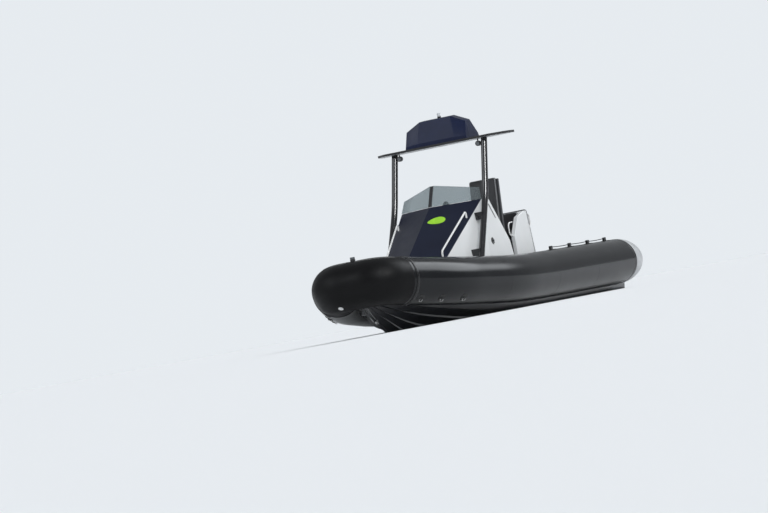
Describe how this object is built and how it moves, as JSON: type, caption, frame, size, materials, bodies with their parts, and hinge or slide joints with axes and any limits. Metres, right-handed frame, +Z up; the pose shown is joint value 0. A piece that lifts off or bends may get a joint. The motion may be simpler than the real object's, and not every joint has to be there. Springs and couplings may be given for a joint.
{
  "type": "rigid inflatable boat",
  "caption": "Rigid inflatable boat with a deep-V hull in a closed bow collar, wedge console, raked arch, crew seats and a stern drive that steers and tilts.",
  "frame": {"origin": "on the still waterline, on the centreline, straight below the transom", "axes": "+X forward along the keel, +Y to port, +Z up, with the water's surface at z = 0"},
  "size_m": [8.4689, 2.842, 3.6146],
  "materials": {
    "collar": "satin black coated fabric",
    "cone": "satin pale grey",
    "hull": "glossy black",
    "gelcoat": "glossy white moulding",
    "dark_cover": "glossy dark navy",
    "arch": "glossy black",
    "pod": "satin dark navy",
    "glass": "tinted",
    "post": "satin black",
    "cushion": "matt black",
    "seat_shell": "satin dark grey",
    "rail": "glossy white",
    "engine": "painted grey",
    "dash": "matt black",
    "wheel": "matt black",
    "steel": "brushed",
    "lamp": "glossy black",
    "light": "glossy white",
    "drive": "satin dark grey"
  },
  "bodies": {
    "boat": {"arch_lamps": "lamp", "arch_wing": "arch", "bench": "gelcoat", "bench_aft_pad": "cushion", "bench_cushions": "cushion", "bow_eye": "steel", "bow_light": "light", "bow_locker": "gelcoat", "bow_tube": "collar", "console": "gelcoat", "console_cover": "dark_cover", "console_rails": "rail", "drive_mount": "drive", "engine": "engine", "engine_casing": "gelcoat", "helm_seat": "seat_shell", "helm_seat_cushions": "cushion", "hull": "hull", "instrument_panel": "dash", "mast_light": "light", "navigator_seat": "seat_shell", "navigator_seat_cushions": "cushion", "port_cone": "cone", "port_leg": "arch", "port_tube": "collar", "roof_pod": "pod", "starboard_cone": "cone", "starboard_leg": "arch", "starboard_tube": "collar", "throttle": "dash", "wheel_column": "steel", "windscreen_port": "glass", "windscreen_post": "post", "windscreen_starboard": "glass"},
    "helm": {"steering_wheel": "wheel"},
    "door": {"cuddy_door": "gelcoat"},
    "hatch": {"engine_hatch": "gelcoat", "hatch_pad": "cushion"},
    "lid": {"locker_lid": "gelcoat"},
    "yoke": {"drive_yoke": "drive"},
    "leg": {"drive_leg": "drive"},
    "front_propeller": {"propeller_front": "steel"},
    "rear_propeller": {"propeller_rear": "steel"}
  },
  "joints": [
    {"name": "helm_turn", "type": "hinge", "parent": "boat", "child": "helm", "pos_m": [3.87235, 0.38, 1.3978], "axis": [-0.9216, 0, 0.3881], "range_deg": [-540, 540]},
    {"name": "cuddy_door_hinge", "type": "hinge", "parent": "boat", "child": "door", "pos_m": [4.036, -0.472, 0.7], "axis": [0, 0, 1], "range_deg": [0, 95]},
    {"name": "engine_hatch_hinge", "type": "hinge", "parent": "boat", "child": "hatch", "pos_m": [1.742, 0, 0.6703], "axis": [0, 1, 0], "range_deg": [0, 70]},
    {"name": "locker_lid_hinge", "type": "hinge", "parent": "boat", "child": "lid", "pos_m": [6.018, 0, 0.661], "axis": [0, -1, 0], "range_deg": [0, 85]},
    {"name": "drive_steer", "type": "hinge", "parent": "boat", "child": "yoke", "pos_m": [-0.17, 0, 0.04], "axis": [0, 0, 1], "range_deg": [-28, 28]},
    {"name": "drive_tilt", "type": "hinge", "parent": "yoke", "child": "leg", "pos_m": [-0.23, 0, 0.04], "axis": [0, 1, 0], "range_deg": [0, 45]},
    {"name": "propeller_front_spin", "type": "hinge", "parent": "leg", "child": "front_propeller", "pos_m": [-0.716, 0, -0.38], "axis": [1, 0, 0], "continuous": true},
    {"name": "propeller_rear_spin", "type": "hinge", "parent": "leg", "child": "rear_propeller", "pos_m": [-0.808, 0, -0.38], "axis": [1, 0, 0], "continuous": true}
  ],
  "couplings": [
    {"joint": "propeller_rear_spin", "follows": "propeller_front_spin", "ratio": -1}
  ]
}
